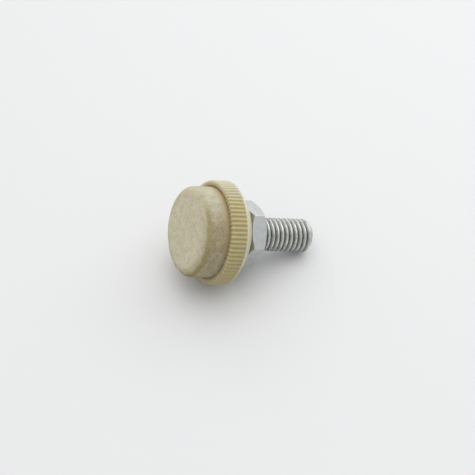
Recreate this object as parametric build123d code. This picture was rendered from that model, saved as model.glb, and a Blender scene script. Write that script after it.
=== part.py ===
from build123d import *
import math
import os

# Adjustable levelling foot, standing upright on its pad.
# Millimetres, +Z up along the stud, origin at the centre of the pad's underside.
# The -Y side faces one flat of the lock nut.

# Thread and wrench sizes of a coarse M10 stud and its thin lock nut
stud_radius = 4.92
wrench_flats = 17.0
nut_thickness = 5.0
head_thickness = 4.6
stud_above_holder_front = 32.7
tip_chamfer = 1.2
thread_pitch = 1.5
thread_depth = 0.74
thread_crest_share = 0.34

# Pad
pad_radius = 13.2
pad_proud = 7.5
pad_edge_radius = 2.8
pad_seat_depth = 1.2

# Holder, measured from its front rim towards the stud's tip
rim_width = 1.8
holder_rim_depth = 0.45
holder_front_chamfer = 0.4
holder_lip_width = 0.45
holder_lip_rounding = 0.8
holder_back = 8.5
holder_back_inset = 4.1
holder_back_chamfer = 0.4

# Knurl
knurl_length = 4.85
tooth_count = 72
groove_depth = 0.42
groove_share = 0.62
groove_root_overlap = 0.1
groove_runout = 0.6
ridge_inset = 0.3
ridge_slope_width = 0.6
first_groove_deg = 1.07

# Lock nut, at rest a little above the holder's back
nut_gap = 1.4
nut_chamfer_radius = 8.15
nut_chamfer_deg = 30.0
bore_countersink = 0.45

# Fits and clearances
nut_running_clearance = 0.06
stud_clearance = 0.05
head_clearance = 0.1
pad_clearance = 0.1

# Heights worked out from the sizes above
holder_front_z = pad_proud
rim_floor_z = holder_front_z + holder_rim_depth
pad_top_z = holder_front_z + pad_seat_depth
head_top_z = pad_top_z + head_thickness
holder_back_z = holder_front_z + holder_back
knurl_end_z = holder_front_z + knurl_length
lip_end_z = knurl_end_z + holder_lip_width
nut_bottom_z = holder_back_z + nut_gap
nut_top_z = nut_bottom_z + nut_thickness
stud_tip_z = holder_front_z + stud_above_holder_front

# Radii worked out from the sizes above
seat_radius = pad_radius + pad_clearance
holder_radius = seat_radius + rim_width
ridge_inner_radius = seat_radius + ridge_inset
holder_back_radius = holder_radius - holder_back_inset
groove_root_radius = holder_radius - groove_depth
core_radius = groove_root_radius - groove_root_overlap
corner_radius = wrench_flats / 2 / math.cos(math.radians(30))
nut_bore_radius = stud_radius + nut_running_clearance

# The thread's grooves: as many whole ones as fit between the holder's back and the tip's chamfer
chamfer_z = stud_tip_z - tip_chamfer
thread_groove_width = thread_pitch * (1 - thread_crest_share)
thread_groove_count = math.floor((chamfer_z - holder_back_z) / thread_pitch)
last_groove_z = chamfer_z - thread_pitch * thread_crest_share / 2 - thread_groove_width
first_groove_z = last_groove_z - thread_pitch * (thread_groove_count - 1)

# How far a cut runs past the faces that it opens
overshoot = 1.0


def turned(points):
    """A solid of revolution about Z from (radius, height) points."""
    outline = Polyline(*[(radius, 0, height) for radius, height in points], close=True)
    return revolve(make_face(outline), Axis.Z)


def hex_prism(across_flats, bottom, top):
    """A hexagonal prism about Z, with one flat facing -Y."""
    circumradius = across_flats / 2 / math.cos(math.radians(30))
    section = Plane.XY.offset(bottom) * RegularPolygon(circumradius, 6)
    return extrude(section, top - bottom)


def make_pad():
    """The pad: a thick disc whose lower edge is rounded, seated in the holder's recess."""
    disc = Pos(0, 0, pad_top_z / 2) * Cylinder(pad_radius, pad_top_z)
    lower_edge = disc.edges().filter_by(GeomType.CIRCLE).sort_by(Axis.Z)[0]
    return fillet(lower_edge, pad_edge_radius)


def notched_disc(root_points, bottom, top):
    """A disc with a notch at each knurl groove, whose root is (share of the half width, radius) points."""
    pitch_angle = 2 * math.pi / tooth_count
    half_width = pitch_angle * groove_share / 2
    mouth_radius = holder_radius / math.cos(pitch_angle / 2 - half_width)
    points = []
    for tooth in range(tooth_count):
        middle = math.radians(first_groove_deg - 90) + tooth * pitch_angle
        for share, radius in [(-1, mouth_radius), *root_points, (1, mouth_radius)]:
            angle = middle + share * half_width
            points.append((radius * math.cos(angle), radius * math.sin(angle)))
    section = Plane.XY.offset(bottom) * make_face(Polyline(*points, close=True))
    return extrude(section, top - bottom)


def make_tooth_ring():
    """The knurl's teeth, from ridges that cross the front rim to the smooth lip."""
    ridge_roots = [(-1, ridge_inner_radius), (1, ridge_inner_radius)]
    ridges = notched_disc(ridge_roots, holder_front_z, rim_floor_z)
    teeth = notched_disc([(0, groove_root_radius)], rim_floor_z, knurl_end_z)
    envelope = turned([
        (ridge_inner_radius, rim_floor_z),
        (ridge_inner_radius + ridge_slope_width, holder_front_z),
        (holder_radius - holder_front_chamfer, holder_front_z),
        (holder_radius, holder_front_z + holder_front_chamfer),
        (holder_radius, knurl_end_z),
        (ridge_inner_radius, knurl_end_z),
    ])
    return (ridges + teeth) & envelope


def make_holder():
    """The holder: a knurled cup with a coned back, a seat for the pad and a pocket for the stud's head."""
    core = turned([
        (0, rim_floor_z),
        (core_radius, rim_floor_z),
        (core_radius, knurl_end_z - groove_runout),
        (holder_radius, knurl_end_z),
        (holder_radius, lip_end_z),
        (holder_back_radius, holder_back_z),
        (0, holder_back_z),
    ])
    lip_edge = core.edges().filter_by(GeomType.CIRCLE).group_by(Axis.Z)[-2]
    core = fillet(lip_edge, holder_lip_rounding)
    back_edge = core.edges().filter_by(GeomType.CIRCLE).group_by(Axis.Z)[-1]
    core = chamfer(back_edge, holder_back_chamfer)
    body = core + make_tooth_ring()
    pad_seat = Pos(0, 0, holder_front_z) * Cylinder(seat_radius, pad_seat_depth * 2)
    head_pocket = hex_prism(wrench_flats + 2 * head_clearance, holder_front_z, head_top_z)
    stud_hole = Pos(0, 0, (holder_front_z + holder_back_z) / 2) * Cylinder(
        stud_radius + stud_clearance, holder_back + 2 * overshoot
    )
    return body - pad_seat - head_pocket - stud_hole


def make_stud():
    """The stud: a hexagonal head held in the holder, and a grooved shank with a chamfered tip."""
    outline = [(0, head_top_z), (stud_radius, head_top_z)]
    for groove in range(thread_groove_count):
        groove_z = first_groove_z + groove * thread_pitch
        outline.append((stud_radius, groove_z))
        outline.append((stud_radius - thread_depth, groove_z + thread_groove_width / 2))
        outline.append((stud_radius, groove_z + thread_groove_width))
    outline.append((stud_radius, chamfer_z))
    outline.append((stud_radius - tip_chamfer, stud_tip_z))
    outline.append((0, stud_tip_z))
    return hex_prism(wrench_flats, pad_top_z, head_top_z) + turned(outline)


def make_lock_nut():
    """The lock nut: a thin hexagon with coned corners on both faces and a countersunk bore."""
    cone_rise = (corner_radius - nut_chamfer_radius) * math.tan(math.radians(nut_chamfer_deg))
    turned_blank = turned([
        (0, nut_bottom_z),
        (nut_chamfer_radius, nut_bottom_z),
        (corner_radius, nut_bottom_z + cone_rise),
        (corner_radius, nut_top_z - cone_rise),
        (nut_chamfer_radius, nut_top_z),
        (0, nut_top_z),
    ])
    bore = turned([
        (0, nut_bottom_z),
        (nut_bore_radius + bore_countersink, nut_bottom_z),
        (nut_bore_radius, nut_bottom_z + bore_countersink),
        (nut_bore_radius, nut_top_z - bore_countersink),
        (nut_bore_radius + bore_countersink, nut_top_z),
        (0, nut_top_z),
    ])
    return (hex_prism(wrench_flats, nut_bottom_z, nut_top_z) & turned_blank) - bore


nodes = {
    "pad": make_pad,
    "knurled_holder": make_holder,
    "threaded_stud": make_stud,
    "lock_nut": make_lock_nut,
}

os.makedirs("parts", exist_ok=True)
for name, maker in nodes.items():
    solid = maker()
    export_step(solid, f"parts/{name}.step")
    box = solid.bounding_box()
    print(name, round(solid.volume, 2), box.min, box.max)
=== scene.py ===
import math

import bmesh
import bpy
from mathutils import Matrix, Vector, noise


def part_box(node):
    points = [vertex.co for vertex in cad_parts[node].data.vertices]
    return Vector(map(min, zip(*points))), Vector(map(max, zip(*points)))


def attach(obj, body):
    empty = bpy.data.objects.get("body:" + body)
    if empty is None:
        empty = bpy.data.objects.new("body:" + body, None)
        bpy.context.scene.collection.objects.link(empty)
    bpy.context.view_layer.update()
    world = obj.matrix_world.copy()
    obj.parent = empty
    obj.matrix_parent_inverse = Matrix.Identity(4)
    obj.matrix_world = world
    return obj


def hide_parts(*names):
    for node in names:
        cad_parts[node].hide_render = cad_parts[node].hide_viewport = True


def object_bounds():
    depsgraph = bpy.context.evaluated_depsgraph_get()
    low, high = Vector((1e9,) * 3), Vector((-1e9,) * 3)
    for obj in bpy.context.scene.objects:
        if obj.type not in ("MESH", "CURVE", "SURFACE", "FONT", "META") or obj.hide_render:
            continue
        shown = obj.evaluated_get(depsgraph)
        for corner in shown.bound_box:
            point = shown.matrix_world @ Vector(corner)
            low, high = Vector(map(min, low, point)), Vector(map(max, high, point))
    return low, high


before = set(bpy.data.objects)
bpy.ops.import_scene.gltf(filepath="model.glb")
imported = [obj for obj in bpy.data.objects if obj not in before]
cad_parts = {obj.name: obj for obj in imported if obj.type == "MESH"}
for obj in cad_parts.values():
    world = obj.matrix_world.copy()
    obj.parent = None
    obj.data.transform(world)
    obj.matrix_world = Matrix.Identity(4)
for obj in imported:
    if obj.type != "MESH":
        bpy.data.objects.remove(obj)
cad_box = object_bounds()

MM = 0.001

# Places and sizes read from the frame
_, pad_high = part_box("pad")
holder_low, holder_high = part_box("knurled_holder")
stud_low, stud_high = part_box("threaded_stud")
nut_low, nut_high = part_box("lock_nut")

# Pad
PAD_RADIUS = pad_high.x
PAD_EDGE_RADIUS = 2.8 * MM
PAD_GRAIN_HEIGHT = 0.06 * MM
PAD_GRAIN_SIZE = 0.9 * MM
PAD_GRAIN_ROUGHNESS = 0.8
PAD_GRAIN_LACUNARITY = 2.1
PAD_GRAIN_OCTAVES = 4
PAD_COLUMNS = 300
PAD_FACE_RINGS = 70
PAD_EDGE_RINGS = 22
PAD_WALL_RINGS = 30

# Holder, measured from its front rim
HOLDER_RADIUS = holder_high.x
HOLDER_FRONT = holder_low.z
HOLDER_BACK = holder_high.z
RIM_DEPTH = 0.45 * MM
RIDGE_INNER_RADIUS = 13.34 * MM
RIDGE_SLOPE_WIDTH = 0.3 * MM
RIDGE_FOOT_ROUNDING = 0.03 * MM
RIDGE_ROUNDING = 0.2 * MM
FRONT_ROUNDING = 0.6 * MM
GROOVE_FRONT_SHARE = 0.5
KNURL_END = 4.95 * MM
KNURL_RUNOUT = 0.45 * MM
KNURL_ROWS = 12
LIP_END = 5.3 * MM
GROOVE_DEPTH = 0.38 * MM
TOOTH_COUNT = 72
STEPS_PER_TOOTH = 14
FRONT_DEGREES = -90
FIRST_GROOVE_DEGREES = 1.07
FIRST_GROOVE = math.radians(FIRST_GROOVE_DEGREES + FRONT_DEGREES)
GROOVE_FLOOR_SHARE = 0.03
GROOVE_EDGE_SHARE = 0.43
BACK_RADIUS = 11.0 * MM
BACK_ROUNDING = 0.8 * MM
LIP_ROUNDING = 0.7 * MM
POCKET_ROUNDING = 0.3 * MM
SEAT_CLEARANCE = 0.02 * MM
STUD_HOLE_CLEARANCE = 0.05 * MM

# Stud and its thread
STUD_RADIUS = 4.92 * MM
STUD_TIP = stud_high.z
HEAD_BOTTOM = stud_low.z
HEAD_THICKNESS = 4.6 * MM
HEAD_CORNER_ROUNDING = 0.3 * MM
HEAD_TOP = HEAD_BOTTOM + HEAD_THICKNESS
TIP_CHAMFER = 1.2 * MM
PITCH = 1.5 * MM
THREAD_DEPTH = 0.74 * MM
THREAD_INSIDE_HOLDER = 1.5 * MM
THREAD_START = HOLDER_BACK - THREAD_INSIDE_HOLDER
THREAD_RUNOUT = 1.0 * MM
CHAMFER_THREAD_SHARE = 0.6
FIRST_CREST_RISE = 0.28 * MM
FIRST_CREST = HEAD_TOP + FIRST_CREST_RISE
THREAD_COLUMNS = 128
# One turn of the thread: shares of the pitch from a crest's middle, and shares of the depth
THREAD_LINE = (
    (0.0, 0.0), (0.10, 0.01), (0.16, 0.05), (0.21, 0.16), (0.29, 0.45), (0.38, 0.78),
    (0.43, 0.95), (0.5, 1.0), (0.57, 0.95), (0.62, 0.78), (0.71, 0.45), (0.79, 0.16),
    (0.84, 0.05), (0.90, 0.01),
)
# The tip's face is slightly hollow: shares of its radius, and depths, from its edge to its middle
TIP_HOLLOW = ((1.0, 0.0), (0.93, 0.0), (0.86, 0.12 * MM), (0.0, 0.15 * MM))

# Lock nut
NUT_BOTTOM = nut_low.z
NUT_TOP = nut_high.z
HALF_FLATS = nut_high.y
NUT_CHAMFER_RADIUS = 8.15 * MM
NUT_CHAMFER_DEGREES = 30
NUT_CHAMFER_SLOPE = math.tan(math.radians(NUT_CHAMFER_DEGREES))
NUT_CORNER_ROUNDING = 0.5 * MM
NUT_EDGE_ROUNDING = 0.28 * MM
NUT_RUNNING_CLEARANCE = 0.06 * MM
NUT_BORE_RADIUS = STUD_RADIUS + NUT_RUNNING_CLEARANCE
NUT_COUNTERSINK = 0.45 * MM
NUT_COLUMNS = 360

# Meshes: points this close become one, and edges this short go
MERGE_DISTANCE = 2e-7
SHORTEST_EDGE = 1e-8
SHARP_ANGLE = math.radians(40)

# The photograph's view: the stud's axis against the line of sight, and where the rim's centre lies
IMAGE_SIZE = 475
FOCAL_PIXELS = 2424.5
SENSOR_WIDTH = 36.0
AXIS_AWAY = math.radians(62.03)
AXIS_DROP = math.radians(-2.08)
NUT_TURN = math.radians(3.5)
RIM_CENTRE_IN_VIEW = Vector((-8.505, 1.550, -700.0)) * MM
CLIP_START = 0.01
CLIP_END = 50

# The tabletop that the foot lies on in the photograph: it touches the holder's lip and the stud's tip
VIEW_ELEVATION = math.radians(46.06)
FLOOR_SIZE = 6.0
FLOOR_GAP = 0.02 * MM

# Light, whose directions are shares of the photograph's up, back and right
BACKDROP = (0.745, 0.75, 0.755)
FLOOR_BOUNCE = (0.54, 0.525, 0.49)
ROOM_STRENGTH = 0.8
ROOM_LEVELS = ((0.0, 0.55), (0.35, 0.78), (0.5, 0.86), (0.8, 1.0), (1.0, 1.4))
ROOM_BRIGHT_SIDE = (0.5, 1.0, -0.4)
# Each softbox's name, direction, distance, size and power
SOFTBOXES = (
    ("overhead", (1.0, 0.0, 0.0), 0.55, 0.6, 0.92),
    ("window", (0.64, 0.42, 0.65), 0.6, 0.58, 0.75),
    ("rear", (0.5, 1.0, 0.0), 0.6, 0.6, 0.6),
)

# Colours, as (place, colour) stops where they are mottled
FELT_FACE = [(0.38, (0.52, 0.475, 0.345)), (0.5, (0.62, 0.575, 0.43)), (0.62, (0.70, 0.655, 0.51))]
FELT_WALL = [(0.36, (0.40, 0.37, 0.26)), (0.5, (0.48, 0.45, 0.33)), (0.64, (0.56, 0.54, 0.43))]
# The brown for the wall's low side: the felt's own brown tone together with painted shade
FELT_BROWN_AND_SHADE = [(0.38, (0.31, 0.26, 0.155)), (0.5, (0.39, 0.33, 0.21)), (0.62, (0.49, 0.425, 0.29))]
# The olive: painted shade on the pad's rounded edge, and the face's darker rim
FELT_OLIVE = [(0.38, (0.31, 0.26, 0.13)), (0.62, (0.42, 0.36, 0.195))]
# Painted shade and dirt in the crease where the pad meets the holder
CREASE_SHADE_AND_DIRT = (0.44, 0.34, 0.18)
CREAM_BASE = [(0.35, (0.61, 0.58, 0.39)), (0.65, (0.67, 0.64, 0.45))]
# A painted sheen: the paler colour of the holder's upper side
CREAM_PAINTED_SHEEN = (0.525, 0.50, 0.365)
CREAM_CREST = (0.455, 0.395, 0.255)
# The grooves' yellower tint is painted shade
CREAM_GROOVE_SHADE = (0.49, 0.425, 0.16)
CREAM_GLOW = 0.8
CREAM_GLOW_REACH = (1.0, 0.85, 0.5)
ZINC_BRIGHT = [(0.38, (0.46, 0.47, 0.45)), (0.62, (0.64, 0.65, 0.625))]
# Painted shade in the thread's roots
ZINC_ROOT_SHADE = (0.10, 0.10, 0.085)
ZINC_MARK = (0.18, 0.175, 0.15)
ZINC_DULL = [(0.35, (0.49, 0.515, 0.505)), (0.65, (0.58, 0.61, 0.60))]

# The felt's pattern: noise in features for each millimetre, and steps as (start, end) in millimetres
FELT_BLOTCHES = 0.4
FELT_FIBRES = 1.3
FELT_RAGGEDNESS = 8.0
FELT_UNEVENNESS = 0.8
# Where the wall's brown and painted shade lie: towards the low side, short of the lowest part
FELT_LOW_SIDE = (-5.0, 6.0)
FELT_ABOVE_LOWEST = (19.0, 9.0)
# Where the painted shade lies on the rounded edge: away from the upper side, below a height
FELT_EDGE_SHADE_SIDE = (-6.0, 1.0)
FELT_EDGE_SHADE_HEIGHT = (3.1, 2.0)
FELT_FACE_HEIGHT = (1.6, 0.9)
FELT_RIM = (9.5, 12.5)
FELT_RIM_STRENGTH = 0.4
# Where the painted shade and dirt lie on the pad, by height and side
FELT_CREASE = (5.4, 8.4)
FELT_CREASE_SIDE = (14.0, 8.0)

# The cream plastic's pattern, in the same units
CREAM_CLOUDS = 0.35
CREAM_GRAIN = 2.2
CREAM_RAGGEDNESS = 6.0
CREAM_UNDER_CREST = (15.09, 14.92)
CREAM_UNDER_RIDGE = (7.56, 7.85)
CREAM_KNURL = (12.6, 12.2)
# Where the painted sheen lies, and how strong it is
CREAM_SHEEN_SIDE = (-3.0, -11.0)
CREAM_SHEEN_STRENGTH = 0.9
# Where the painted shade and dirt lie on the rim beside the pad, by radius and side
CREAM_CREASE = (14.5, 13.6)
CREAM_CREASE_SIDE = (9.0, 3.0)

# The zinc's pattern, in the same units, with its grime as a step in the clouds
BRIGHT_CLOUDS = 0.8
BRIGHT_MARKS = 1.6
BRIGHT_MARKS_STRETCH = (1.0, 1.0, 5.0)
BRIGHT_BELOW_TIP = (39.1, 38.9)
# Where the painted shade lies in the thread's roots, by radius
BRIGHT_ROOT_SHADE = (4.44, 4.26)
BRIGHT_UNDER_CREST = (4.92, 4.7)
BRIGHT_GRIME = (0.54, 0.66)
BRIGHT_ROUGHNESS = (0.28, 0.44)
DULL_CLOUDS = 0.7
DULL_GRAIN = 3.0
DULL_ROUGHNESS = (0.34, 0.48)

# A Mix node's colour sockets, whose names its other sockets share
MIX_UNDER = 6
MIX_OVER = 7
MIX_RESULT = 2


def grid_mesh(name, rows, closed=True):
    """A mesh from rows of points, each joined to the next, and round to its own start if closed."""
    count = len(rows[0])
    last = count if closed else count - 1
    faces = []
    for row in range(len(rows) - 1):
        for column in range(last):
            here = row * count + column
            across = row * count + (column + 1) % count
            faces.append((here, across, across + count, here + count))
    mesh = bpy.data.meshes.new(name)
    mesh.from_pydata([point for row in rows for point in row], [], faces)
    return mesh


def add_piece(name, mesh, node, body):
    """A smooth closed piece that stands for a CAD node and rides on its body."""
    work = bmesh.new()
    work.from_mesh(mesh)
    bmesh.ops.remove_doubles(work, verts=work.verts, dist=MERGE_DISTANCE)
    bmesh.ops.dissolve_degenerate(work, edges=work.edges, dist=SHORTEST_EDGE)
    bmesh.ops.recalc_face_normals(work, faces=work.faces)
    work.to_mesh(mesh)
    work.free()
    mesh.shade_smooth()
    mesh.set_sharp_from_angle(angle=SHARP_ANGLE)
    piece = bpy.data.objects.new(name, mesh)
    bpy.context.scene.collection.objects.link(piece)
    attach(piece, body)
    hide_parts(node)
    return piece


def rounded_line(corners, steps=4):
    """Points along a line whose corners are (radius, height, rounding)."""
    points = []
    for index, (radius, height, rounding) in enumerate(corners):
        here = Vector((radius, height))
        if rounding == 0:
            points.append(here)
            continue
        before = (Vector(corners[index - 1][:2]) - here).normalized()
        after = (Vector(corners[index + 1][:2]) - here).normalized()
        half = before.angle(after) / 2
        centre = here + (before + after).normalized() * (rounding / math.sin(half))
        start = here + before * (rounding / math.tan(half)) - centre
        end = here + after * (rounding / math.tan(half)) - centre
        turn = start.angle_signed(end)
        for step in range(steps + 1):
            part = start.copy()
            part.rotate(Matrix.Rotation(-turn * step / steps, 2))
            points.append(centre + part)
    return points


def polar(radius, angle, height):
    return (radius * math.cos(angle), radius * math.sin(angle), height)


def angles(count):
    return [2 * math.pi * step / count for step in range(count)]


def smooth_step(low, high, value):
    share = min(max((value - low) / (high - low), 0.0), 1.0)
    return share * share * (3 - 2 * share)


def hex_radius(angle, half_flats, rounding):
    """The radius of a hexagon with rounded corners and one flat facing -Y, at an angle about Z."""
    off_flat = (angle + math.pi / 2 + math.pi / 6) % (math.pi / 3) - math.pi / 6
    off_corner = math.pi / 6 - abs(off_flat)
    corner_centre = (half_flats - rounding) / math.cos(math.pi / 6)
    flat_end = (half_flats - rounding) * math.tan(math.pi / 6)
    if half_flats * math.tan(abs(off_flat)) <= flat_end:
        return half_flats / math.cos(off_flat)
    reach = corner_centre * math.sin(off_corner)
    return corner_centre * math.cos(off_corner) + math.sqrt(rounding ** 2 - reach ** 2)


def make_pad():
    """The felt pad: a fine-grained face, a rounded edge and a slightly uneven wall."""
    line = [Vector((0.0, 0.0))]
    face_radius = PAD_RADIUS - PAD_EDGE_RADIUS
    for ring in range(1, PAD_FACE_RINGS + 1):
        share = ring / PAD_FACE_RINGS
        line.append(Vector((face_radius * share, 0.0)))
    for ring in range(1, PAD_EDGE_RINGS + 1):
        turn = math.pi / 2 * ring / PAD_EDGE_RINGS
        line.append(Vector((
            face_radius + PAD_EDGE_RADIUS * math.sin(turn),
            PAD_EDGE_RADIUS * (1 - math.cos(turn)),
        )))
    wall_height = pad_high.z - PAD_EDGE_RADIUS
    for ring in range(1, PAD_WALL_RINGS + 1):
        line.append(Vector((PAD_RADIUS, PAD_EDGE_RADIUS + wall_height * ring / PAD_WALL_RINGS)))
    line.append(Vector((0.0, pad_high.z)))
    rows = []
    for index, point in enumerate(line):
        row = []
        for angle in angles(PAD_COLUMNS):
            place = Vector(polar(point.x, angle, point.y))
            grain = noise.fractal(
                place / PAD_GRAIN_SIZE, PAD_GRAIN_ROUGHNESS, PAD_GRAIN_LACUNARITY, PAD_GRAIN_OCTAVES
            )
            sink = PAD_GRAIN_HEIGHT * (0.5 - 0.5 * grain)
            outward = Vector((0, 0, -1))
            if point.x > face_radius:
                rise = min(point.y / PAD_EDGE_RADIUS, 1.0)
                lean = math.acos(1 - rise)
                outward = Vector(polar(math.sin(lean), angle, -math.cos(lean)))
            if index == len(line) - 1:
                outward = Vector((0, 0, 1))
            row.append(place - outward * max(sink, 0.0))
        rows.append(row)
    return add_piece("felt_pad", grid_mesh("felt_pad", rows), "pad", "foot")


def groove_share(angle):
    """How deep the knurl is at an angle about Z, from 0 on a tooth's crest to 1 on a groove's floor."""
    turn = (angle - FIRST_GROOVE) / (2 * math.pi) * TOOTH_COUNT
    off_middle = abs((turn + 0.5) % 1 - 0.5)
    return 1 - smooth_step(GROOVE_FLOOR_SHARE, GROOVE_EDGE_SHARE, off_middle)


def rim_line(top, radius):
    """The rim's section, over a ridge or along a groove: pad seat, sloped ridge, front edge, knurl."""
    rim_floor = HOLDER_FRONT + RIM_DEPTH
    line = rounded_line([
        (PAD_RADIUS + SEAT_CLEARANCE, rim_floor, 0),
        (RIDGE_INNER_RADIUS, rim_floor, RIDGE_FOOT_ROUNDING),
        (RIDGE_INNER_RADIUS + RIDGE_SLOPE_WIDTH, top, RIDGE_ROUNDING),
        (radius, top, FRONT_ROUNDING),
        (radius, HOLDER_FRONT + KNURL_END, 0),
    ], steps=5)
    low = line.pop(-2)
    high = line.pop(-1)
    return line + [low.lerp(high, step / KNURL_ROWS) for step in range(KNURL_ROWS + 1)]


def make_holder():
    """The knurled holder: ridges that cross the front rim, teeth that run out at a lip, a coned back."""
    knurl_top = HOLDER_FRONT + KNURL_END
    over_ridge = rim_line(HOLDER_FRONT, HOLDER_RADIUS)
    groove_front = HOLDER_FRONT + RIM_DEPTH * GROOVE_FRONT_SHARE
    along_groove = rim_line(groove_front, HOLDER_RADIUS - GROOVE_DEPTH)
    columns = angles(TOOTH_COUNT * STEPS_PER_TOOTH)
    shares = [groove_share(angle) for angle in columns]
    rows = []
    for ridge, groove in zip(over_ridge, along_groove):
        runout = smooth_step(knurl_top - KNURL_RUNOUT, knurl_top, groove.y)
        sunk = groove.lerp(Vector((HOLDER_RADIUS, groove.y)), runout)
        row = []
        for angle, share in zip(columns, shares):
            point = ridge.lerp(sunk, share)
            row.append(polar(point.x, angle, point.y))
        rows.append(row)
    stud_hole = STUD_RADIUS + STUD_HOLE_CLEARANCE
    back = rounded_line([
        (HOLDER_RADIUS, knurl_top, 0),
        (HOLDER_RADIUS, HOLDER_FRONT + LIP_END, LIP_ROUNDING),
        (BACK_RADIUS, HOLDER_BACK, BACK_ROUNDING),
        (stud_hole, HOLDER_BACK, 0),
        (stud_hole, HEAD_TOP, 0),
    ], steps=6)
    seat = PAD_RADIUS + SEAT_CLEARANCE
    pocket = [hex_radius(angle, HALF_FLATS + SEAT_CLEARANCE, POCKET_ROUNDING) for angle in columns]
    rows.extend([polar(point.x, angle, point.y) for angle in columns] for point in back[1:])
    rows.append([polar(radius, angle, HEAD_TOP) for radius, angle in zip(pocket, columns)])
    rows.append([polar(radius, angle, pad_high.z) for radius, angle in zip(pocket, columns)])
    rows.append([polar(seat, angle, pad_high.z) for angle in columns])
    rows.append(rows[0])
    return add_piece("knurled_rim_holder", grid_mesh("holder", rows), "knurled_holder", "foot")


def thread_depth(turns):
    """How far the thread lies under its crest, at a share of one turn."""
    share = turns % 1
    line = THREAD_LINE + ((1.0, 0.0),)
    for (low, depth_low), (high, depth_high) in zip(line, line[1:]):
        if share <= high:
            part = (share - low) / (high - low)
            return THREAD_DEPTH * (depth_low + (depth_high - depth_low) * part)


def thread_radius(angle, height):
    """The stud's radius at an angle and a height: its right-hand thread, which fades in the tip's chamfer."""
    turns = (height - FIRST_CREST) / PITCH - angle / (2 * math.pi)
    depth = thread_depth(turns) * smooth_step(THREAD_START, THREAD_START + THREAD_RUNOUT, height)
    into_chamfer = max(height - (STUD_TIP - TIP_CHAMFER), 0.0)
    faded = depth * CHAMFER_THREAD_SHARE * (1 - into_chamfer / TIP_CHAMFER)
    return min(STUD_RADIUS - depth, STUD_RADIUS - into_chamfer - faded)


def make_stud():
    """The stud: a helical thread from its hexagonal head to its chamfered tip."""
    columns = [2 * math.pi * step / THREAD_COLUMNS for step in range(THREAD_COLUMNS + 1)]
    first_turn = -2
    last_turn = math.ceil((STUD_TIP - FIRST_CREST) / PITCH) + 1
    rows = [[(0, 0, HEAD_TOP)] * len(columns)]
    for turn in range(first_turn, last_turn):
        for share, _ in THREAD_LINE:
            row = []
            for angle in columns:
                climb = FIRST_CREST + (turn + share + angle / (2 * math.pi)) * PITCH
                height = min(max(climb, HEAD_TOP), STUD_TIP)
                row.append(polar(thread_radius(angle, height), angle, height))
            rows.append(row)
    tip_radius = STUD_RADIUS - TIP_CHAMFER
    for share, depth in TIP_HOLLOW:
        rows.append([polar(tip_radius * share, angle, STUD_TIP - depth) for angle in columns])
    mesh = grid_mesh("stud", rows, closed=False)
    head_rows = [[(0, 0, HEAD_BOTTOM)] * THREAD_COLUMNS]
    for height in (HEAD_BOTTOM, HEAD_TOP):
        head_rows.append([
            polar(hex_radius(angle, HALF_FLATS, HEAD_CORNER_ROUNDING), angle, height)
            for angle in angles(THREAD_COLUMNS)
        ])
    head_rows.append([(0, 0, HEAD_TOP)] * THREAD_COLUMNS)
    head = grid_mesh("stud_head", head_rows)
    joined = bmesh.new()
    joined.from_mesh(mesh)
    joined.from_mesh(head)
    joined.to_mesh(mesh)
    joined.free()
    return add_piece("threaded_shank", mesh, "threaded_stud", "foot")


def make_nut():
    """The lock nut: a thin hexagon with rounded corners and coned ends."""
    rows_by_angle = []
    for angle in angles(NUT_COLUMNS):
        outer = hex_radius(angle, HALF_FLATS, NUT_CORNER_ROUNDING)
        rise = (outer - NUT_CHAMFER_RADIUS) * NUT_CHAMFER_SLOPE
        mouth = NUT_BORE_RADIUS + NUT_COUNTERSINK
        line = rounded_line([
            (NUT_BORE_RADIUS, NUT_BOTTOM + NUT_COUNTERSINK, 0),
            (mouth, NUT_BOTTOM, 0),
            (NUT_CHAMFER_RADIUS, NUT_BOTTOM, 0),
            (outer, NUT_BOTTOM + rise, NUT_EDGE_ROUNDING),
            (outer, NUT_TOP - rise, NUT_EDGE_ROUNDING),
            (NUT_CHAMFER_RADIUS, NUT_TOP, 0),
            (mouth, NUT_TOP, 0),
            (NUT_BORE_RADIUS, NUT_TOP - NUT_COUNTERSINK, 0),
            (NUT_BORE_RADIUS, NUT_BOTTOM + NUT_COUNTERSINK, 0),
        ])
        rows_by_angle.append([polar(point.x, angle, point.y) for point in line])
    rows = [list(row) for row in zip(*rows_by_angle)]
    return add_piece("thin_lock_nut", grid_mesh("nut", rows), "lock_nut", "nut")


def new_material(name):
    """A material with its nodes, its links and its shader."""
    material = bpy.data.materials.new(name)
    material.use_nodes = True
    nodes = material.node_tree.nodes
    return material, nodes, material.node_tree.links, nodes["Principled BSDF"]


def add_node(nodes, kind, **values):
    """A node with its settings and inputs given by name."""
    node = nodes.new(kind)
    for key, value in values.items():
        if hasattr(node, key):
            setattr(node, key, value)
        else:
            node.inputs[key.replace("_", " ")].default_value = value
    return node


def add_ramp(nodes, links, share, stops):
    """A colour that follows a share through (place, colour) stops."""
    ramp = nodes.new("ShaderNodeValToRGB")
    elements = ramp.color_ramp.elements
    elements[0].position = stops[0][0]
    elements[0].color = (*stops[0][1], 1)
    elements[1].position = stops[-1][0]
    elements[1].color = (*stops[-1][1], 1)
    for place, colour in stops[1:-1]:
        element = elements.new(place)
        element.color = (*colour, 1)
    links.new(share, ramp.inputs["Fac"])
    return ramp.outputs["Color"]


def add_place(nodes, links):
    """The point on the piece, in millimetres."""
    source = nodes.new("ShaderNodeTexCoord")
    scaled = add_node(nodes, "ShaderNodeVectorMath", operation="SCALE", Scale=1 / MM)
    links.new(source.outputs["Object"], scaled.inputs[0])
    return scaled.outputs["Vector"]


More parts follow.
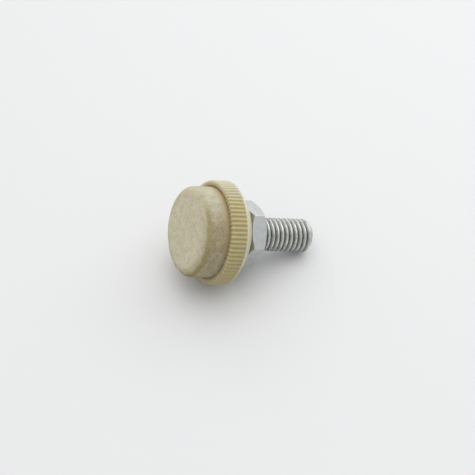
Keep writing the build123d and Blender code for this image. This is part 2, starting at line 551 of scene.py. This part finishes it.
def add_parts(nodes, links, place):
    """A point's radius about Z, its height and its X."""
    parts = nodes.new("ShaderNodeSeparateXYZ")
    links.new(place, parts.inputs["Vector"])
    flat = add_node(nodes, "ShaderNodeVectorMath", operation="MULTIPLY")
    flat.inputs[1].default_value = (1, 1, 0)
    links.new(place, flat.inputs[0])
    radius = add_node(nodes, "ShaderNodeVectorMath", operation="LENGTH")
    links.new(flat.outputs["Vector"], radius.inputs[0])
    return radius.outputs["Value"], parts.outputs["Z"], parts.outputs["X"]


def add_noise(nodes, links, place, scale, detail=4.0, stretch=None):
    """Noise with a number of features for each millimetre, stretched along an axis if asked."""
    noise_node = add_node(nodes, "ShaderNodeTexNoise", Scale=scale, Detail=detail, Roughness=0.6)
    if stretch is not None:
        pulled = add_node(nodes, "ShaderNodeVectorMath", operation="MULTIPLY")
        pulled.inputs[1].default_value = stretch
        links.new(place, pulled.inputs[0])
        place = pulled.outputs["Vector"]
    links.new(place, noise_node.inputs["Vector"])
    return noise_node.outputs["Fac"]


def add_step(nodes, links, value, low, high):
    """A share that rises smoothly from 0 to 1 as a value goes from low to high."""
    step = add_node(nodes, "ShaderNodeMapRange", interpolation_type="SMOOTHSTEP", From_Min=low, From_Max=high)
    links.new(value, step.inputs["Value"])
    return step.outputs["Result"]


def add_math(nodes, links, operation, first, second):
    """Two values joined by an operation; the second may be a plain number."""
    node = add_node(nodes, "ShaderNodeMath", operation=operation)
    links.new(first, node.inputs[0])
    if isinstance(second, (int, float)):
        node.inputs[1].default_value = second
    else:
        links.new(second, node.inputs[1])
    return node.outputs["Value"]


def add_tint(nodes, links, share, under, over):
    """A colour that turns from one to another with a share; the second may be a plain colour."""
    mix = add_node(nodes, "ShaderNodeMix", data_type="RGBA")
    links.new(share, mix.inputs["Factor"])
    links.new(under, mix.inputs[MIX_UNDER])
    if isinstance(over, tuple):
        mix.inputs[MIX_OVER].default_value = (*over, 1)
    else:
        links.new(over, mix.inputs[MIX_OVER])
    return mix.outputs[MIX_RESULT]


def add_bump(nodes, links, shader, heights, depth, strength):
    """A bump on a shader from a height."""
    bump = add_node(nodes, "ShaderNodeBump", Strength=strength, Distance=depth)
    links.new(heights, bump.inputs["Height"])
    links.new(bump.outputs["Normal"], shader.inputs["Normal"])


def add_roughness(nodes, links, shader, share, limits):
    """A roughness on a shader that varies between two limits with a share."""
    shine = add_node(nodes, "ShaderNodeMapRange", To_Min=limits[0], To_Max=limits[1])
    links.new(share, shine.inputs["Value"])
    links.new(shine.outputs["Result"], shader.inputs["Roughness"])


def make_felt():
    """Pressed felt: grey-beige mottled face, olive painted shade on the edge, a browner wall whose low side
    is partly painted shade, and a dark line of painted shade and dirt at the holder.
    """
    material, nodes, links, shader = new_material("pressed_felt")
    place = add_place(nodes, links)
    radius, height, across = add_parts(nodes, links, place)
    blotches = add_noise(nodes, links, place, FELT_BLOTCHES)
    fibres = add_noise(nodes, links, place, FELT_FIBRES, detail=5.0)
    mottle = add_math(nodes, links, "ADD", blotches, fibres)
    mottle = add_math(nodes, links, "MULTIPLY", mottle, 0.5)
    face = add_ramp(nodes, links, mottle, FELT_FACE)
    wall = add_ramp(nodes, links, mottle, FELT_WALL)
    brown_and_shade = add_ramp(nodes, links, mottle, FELT_BROWN_AND_SHADE)
    olive = add_ramp(nodes, links, mottle, FELT_OLIVE)
    ragged = add_math(nodes, links, "MULTIPLY", blotches, FELT_RAGGEDNESS)
    ragged_across = add_math(nodes, links, "ADD", across, ragged)
    # Painted shade: the wall turns brown towards its low side, partly its own tone
    low_side = add_step(nodes, links, ragged_across, *FELT_LOW_SIDE)
    above_lowest = add_step(nodes, links, ragged_across, *FELT_ABOVE_LOWEST)
    brown_and_shade_side = add_math(nodes, links, "MULTIPLY", low_side, above_lowest)
    colour = add_tint(nodes, links, brown_and_shade_side, wall, brown_and_shade)
    uneven = add_math(nodes, links, "MULTIPLY", fibres, FELT_UNEVENNESS)
    uneven_height = add_math(nodes, links, "ADD", height, uneven)
    # Painted shade: olive on the rounded edge, fading out on the upper side
    edge_shade_side = add_step(nodes, links, ragged_across, *FELT_EDGE_SHADE_SIDE)
    edge_shade = add_step(nodes, links, uneven_height, *FELT_EDGE_SHADE_HEIGHT)
    edge_shade = add_math(nodes, links, "MULTIPLY", edge_shade, edge_shade_side)
    colour = add_tint(nodes, links, edge_shade, colour, olive)
    on_face = add_step(nodes, links, uneven_height, *FELT_FACE_HEIGHT)
    rim = add_step(nodes, links, radius, *FELT_RIM)
    rim = add_math(nodes, links, "MULTIPLY", rim, FELT_RIM_STRENGTH)
    face_colour = add_tint(nodes, links, rim, face, olive)
    colour = add_tint(nodes, links, on_face, colour, face_colour)
    # Painted shade and dirt: brown in the crease at the holder
    crease = add_step(nodes, links, uneven_height, *FELT_CREASE)
    crease_side = add_step(nodes, links, ragged_across, *FELT_CREASE_SIDE)
    crease = add_math(nodes, links, "MULTIPLY", crease, crease_side)
    colour = add_tint(nodes, links, crease, colour, CREASE_SHADE_AND_DIRT)
    links.new(colour, shader.inputs["Base Color"])
    add_bump(nodes, links, shader, mottle, depth=0.25 * MM, strength=0.6)
    shader.inputs["Roughness"].default_value = 0.95
    shader.inputs["Specular IOR Level"].default_value = 0.15
    return material


def make_cream_plastic():
    """Moulded cream plastic: pale crests, olive grooves tinted as painted shade, a painted sheen on the upper
    side, and a brown line of painted shade and dirt in the rim beside the pad.
    """
    material, nodes, links, shader = new_material("cream_plastic")
    place = add_place(nodes, links)
    radius, height, across = add_parts(nodes, links, place)
    clouds = add_noise(nodes, links, place, CREAM_CLOUDS)
    base = add_ramp(nodes, links, clouds, CREAM_BASE)
    under_crest = add_step(nodes, links, radius, *CREAM_UNDER_CREST)
    under_ridge = add_step(nodes, links, height, *CREAM_UNDER_RIDGE)
    sunk = add_math(nodes, links, "MULTIPLY", under_crest, under_ridge)
    in_knurl = add_step(nodes, links, height, *CREAM_KNURL)
    # Painted shade: the knurl's grooves take a yellower tint
    groove = add_math(nodes, links, "MULTIPLY", sunk, in_knurl)
    knurl = add_tint(nodes, links, in_knurl, base, CREAM_CREST)
    colour = add_tint(nodes, links, groove, knurl, CREAM_GROOVE_SHADE)
    ragged = add_math(nodes, links, "MULTIPLY", clouds, CREAM_RAGGEDNESS)
    ragged_across = add_math(nodes, links, "ADD", across, ragged)
    # Painted sheen: the upper side turns paler
    sheen_side = add_step(nodes, links, ragged_across, *CREAM_SHEEN_SIDE)
    sheen_side = add_math(nodes, links, "MULTIPLY", sheen_side, CREAM_SHEEN_STRENGTH)
    colour = add_tint(nodes, links, sheen_side, colour, CREAM_PAINTED_SHEEN)
    # Painted shade and dirt: brown in the rim beside the pad
    crease = add_step(nodes, links, radius, *CREAM_CREASE)
    crease = add_math(nodes, links, "MULTIPLY", crease, in_knurl)
    crease_side = add_step(nodes, links, ragged_across, *CREAM_CREASE_SIDE)
    crease = add_math(nodes, links, "MULTIPLY", crease, crease_side)
    colour = add_tint(nodes, links, crease, colour, CREASE_SHADE_AND_DIRT)
    links.new(colour, shader.inputs["Base Color"])
    grain = add_noise(nodes, links, place, CREAM_GRAIN)
    add_bump(nodes, links, shader, grain, depth=0.05 * MM, strength=0.25)
    shader.inputs["Roughness"].default_value = 0.42
    shader.inputs["Specular IOR Level"].default_value = 0.5
    shader.inputs["Coat Weight"].default_value = 0.5
    shader.inputs["Coat Roughness"].default_value = 0.25
    shader.inputs["Subsurface Weight"].default_value = CREAM_GLOW
    shader.inputs["Subsurface Radius"].default_value = CREAM_GLOW_REACH
    shader.inputs["Subsurface Scale"].default_value = 1.0 * MM
    return material


def make_bright_zinc():
    """The stud's plating: bright crests with fine rolling marks, thread roots darkened as painted shade, and
    a clean tip.
    """
    material, nodes, links, shader = new_material("bright_zinc")
    place = add_place(nodes, links)
    radius, height, _ = add_parts(nodes, links, place)
    clouds = add_noise(nodes, links, place, BRIGHT_CLOUDS)
    marks = add_noise(nodes, links, place, BRIGHT_MARKS, stretch=BRIGHT_MARKS_STRETCH)
    base = add_ramp(nodes, links, clouds, ZINC_BRIGHT)
    below_tip = add_step(nodes, links, height, *BRIGHT_BELOW_TIP)
    # Painted shade: the thread's roots turn dark
    root_shade = add_step(nodes, links, radius, *BRIGHT_ROOT_SHADE)
    root_shade = add_math(nodes, links, "MULTIPLY", root_shade, below_tip)
    colour = add_tint(nodes, links, root_shade, base, ZINC_ROOT_SHADE)
    grime = add_step(nodes, links, clouds, *BRIGHT_GRIME)
    under_crest = add_step(nodes, links, radius, *BRIGHT_UNDER_CREST)
    grime = add_math(nodes, links, "MULTIPLY", grime, under_crest)
    grime = add_math(nodes, links, "MULTIPLY", grime, below_tip)
    colour = add_tint(nodes, links, grime, colour, ZINC_MARK)
    links.new(colour, shader.inputs["Base Color"])
    add_roughness(nodes, links, shader, marks, BRIGHT_ROUGHNESS)
    add_bump(nodes, links, shader, marks, depth=0.08 * MM, strength=0.5)
    shader.inputs["Metallic"].default_value = 1.0
    return material


def make_dull_zinc():
    """The nut's plating: cool grey and cloudy, with a fine grain."""
    material, nodes, links, shader = new_material("dull_zinc")
    place = add_place(nodes, links)
    clouds = add_noise(nodes, links, place, DULL_CLOUDS)
    grain = add_noise(nodes, links, place, DULL_GRAIN, detail=5.0)
    links.new(add_ramp(nodes, links, clouds, ZINC_DULL), shader.inputs["Base Color"])
    add_roughness(nodes, links, shader, clouds, DULL_ROUGHNESS)
    add_bump(nodes, links, shader, grain, depth=0.02 * MM, strength=0.3)
    shader.inputs["Metallic"].default_value = 1.0
    return material


def view_axes():
    """The row's axes as the camera sees them: right, up and towards the camera are x, y and z."""
    stud = Vector((
        math.sin(AXIS_AWAY) * math.cos(AXIS_DROP),
        math.sin(AXIS_AWAY) * math.sin(AXIS_DROP),
        -math.cos(AXIS_AWAY),
    ))
    towards = Vector((0, 0, 1))
    near = (towards - stud * towards.dot(stud)).normalized()
    above = near.cross(stud)
    near_flat = near * math.cos(NUT_TURN) + above * math.sin(NUT_TURN)
    y_axis = -near_flat
    x_axis = y_axis.cross(stud)
    return Matrix((x_axis, y_axis, stud)).transposed()


def make_camera(row_in_view):
    """The camera at the photograph's angle, distance and lens."""
    data = bpy.data.cameras.new("camera")
    data.sensor_width = SENSOR_WIDTH
    data.lens = SENSOR_WIDTH * FOCAL_PIXELS / IMAGE_SIZE
    data.clip_start = CLIP_START
    data.clip_end = CLIP_END
    camera = bpy.data.objects.new("camera", data)
    bpy.context.scene.collection.objects.link(camera)
    turn = row_in_view.transposed()
    rim_centre = Vector((0, 0, HOLDER_FRONT))
    camera.matrix_world = Matrix.Translation(rim_centre - turn @ RIM_CENTRE_IN_VIEW) @ turn.to_4x4()
    bpy.context.scene.camera = camera


def make_floor(up):
    """The pale tabletop, tilted so that the foot lies on it as in the photograph."""
    stud = Vector((0, 0, 1))
    down_across = -(up - stud * up.dot(stud)).normalized()
    contact = Vector((0, 0, HOLDER_FRONT + LIP_END)) + down_across * HOLDER_RADIUS
    tip_contact = Vector((0, 0, STUD_TIP - TIP_CHAMFER)) + down_across * STUD_RADIUS
    depth = min(contact.dot(up), tip_contact.dot(up)) - FLOOR_GAP
    middle = up * depth + (contact - up * contact.dot(up))
    mesh = bpy.data.meshes.new("tabletop")
    half = FLOOR_SIZE / 2
    corners = [(-half, -half, 0), (half, -half, 0), (half, half, 0), (-half, half, 0)]
    mesh.from_pydata(corners, [], [(0, 1, 2, 3)])
    floor = bpy.data.objects.new("tabletop", mesh)
    bpy.context.scene.collection.objects.link(floor)
    floor.matrix_world = Matrix.Translation(middle) @ up.to_track_quat("Z", "Y").to_matrix().to_4x4()
    return floor


def add_seen_share(nodes, links):
    """1 where the camera, a reflection or glass sees the room, so that metal shows the backdrop too."""
    path = nodes.new("ShaderNodeLightPath")
    seen = path.outputs["Is Camera Ray"]
    for kind in ("Is Glossy Ray", "Is Transmission Ray"):
        seen = add_math(nodes, links, "MAXIMUM", seen, path.outputs[kind])
    return seen


def join_surfaces(nodes, links, share, under, over, output):
    """One surface that turns into another with a share, linked to an output."""
    choice = nodes.new("ShaderNodeMixShader")
    links.new(share, choice.inputs["Fac"])
    links.new(under, choice.inputs[1])
    links.new(over, choice.inputs[2])
    links.new(choice.outputs["Shader"], nodes[output].inputs["Surface"])


def make_floor_material():
    """Pale and matt from above, and clear from below, so that no view is blocked."""
    material, nodes, links, shader = new_material("tabletop")
    bounced = add_node(nodes, "ShaderNodeRGB")
    bounced.outputs["Color"].default_value = (*FLOOR_BOUNCE, 1)
    seen = add_tint(nodes, links, add_seen_share(nodes, links), bounced.outputs["Color"], BACKDROP)
    links.new(seen, shader.inputs["Base Color"])
    shader.inputs["Roughness"].default_value = 0.9
    shader.inputs["Specular IOR Level"].default_value = 0.1
    geometry = nodes.new("ShaderNodeNewGeometry")
    clear = nodes.new("ShaderNodeBsdfTransparent")
    below = geometry.outputs["Backfacing"]
    join_surfaces(nodes, links, below, shader.outputs["BSDF"], clear.outputs["BSDF"], "Material Output")
    return material


def make_world(bright):
    """A soft room that is brightest towards one direction, and the backdrop where the room is seen."""
    world = bpy.data.worlds.new("room")
    bpy.context.scene.world = world
    world.use_nodes = True
    nodes = world.node_tree.nodes
    links = world.node_tree.links
    soft = nodes["Background"]
    place = nodes.new("ShaderNodeTexCoord")
    side = add_node(nodes, "ShaderNodeVectorMath", operation="DOT_PRODUCT")
    side.inputs[1].default_value = bright.normalized()
    links.new(place.outputs["Generated"], side.inputs[0])
    share = add_node(nodes, "ShaderNodeMapRange", From_Min=-1.0, From_Max=1.0)
    links.new(side.outputs["Value"], share.inputs["Value"])
    levels = [(place, (level, level, level)) for place, level in ROOM_LEVELS]
    links.new(add_ramp(nodes, links, share.outputs["Result"], levels), soft.inputs["Color"])
    soft.inputs["Strength"].default_value = ROOM_STRENGTH
    shown = add_node(nodes, "ShaderNodeBackground", Color=(*BACKDROP, 1))
    seen = add_seen_share(nodes, links)
    join_surfaces(nodes, links, seen, soft.outputs["Background"], shown.outputs["Background"], "World Output")


def along_sides(shares, sides):
    """The direction that shares of three sides add up to."""
    return sum((side * share for share, side in zip(shares, sides)), Vector((0, 0, 0)))


def add_softbox(name, target, direction, distance, size, power):
    """A square lamp that looks at the target from a direction."""
    data = bpy.data.lights.new(name, "AREA")
    data.shape = "SQUARE"
    data.size = size
    data.energy = power
    lamp = bpy.data.objects.new(name, data)
    bpy.context.scene.collection.objects.link(lamp)
    towards = direction.normalized()
    turn = towards.to_track_quat("Z", "Y").to_matrix().to_4x4()
    lamp.matrix_world = Matrix.Translation(target + towards * distance) @ turn


pad = make_pad()
holder = make_holder()
stud = make_stud()
nut = make_nut()

pad.data.materials.append(make_felt())
holder.data.materials.append(make_cream_plastic())
stud.data.materials.append(make_bright_zinc())
nut.data.materials.append(make_dull_zinc())

row_in_view = view_axes()
make_camera(row_in_view)
view_in_row = row_in_view.transposed()
up = view_in_row @ Vector((0, math.cos(VIEW_ELEVATION), math.sin(VIEW_ELEVATION)))
right = view_in_row @ Vector((1, 0, 0))
back = up.cross(right)
floor = make_floor(up)
floor.data.materials.append(make_floor_material())
sides = (up, back, right)
make_world(along_sides(ROOM_BRIGHT_SIDE, sides))
middle = (cad_box[0] + cad_box[1]) / 2
for name, shares, distance, size, power in SOFTBOXES:
    add_softbox(name, middle, along_sides(shares, sides), distance, size, power)

bpy.context.scene.view_settings.view_transform = "Standard"
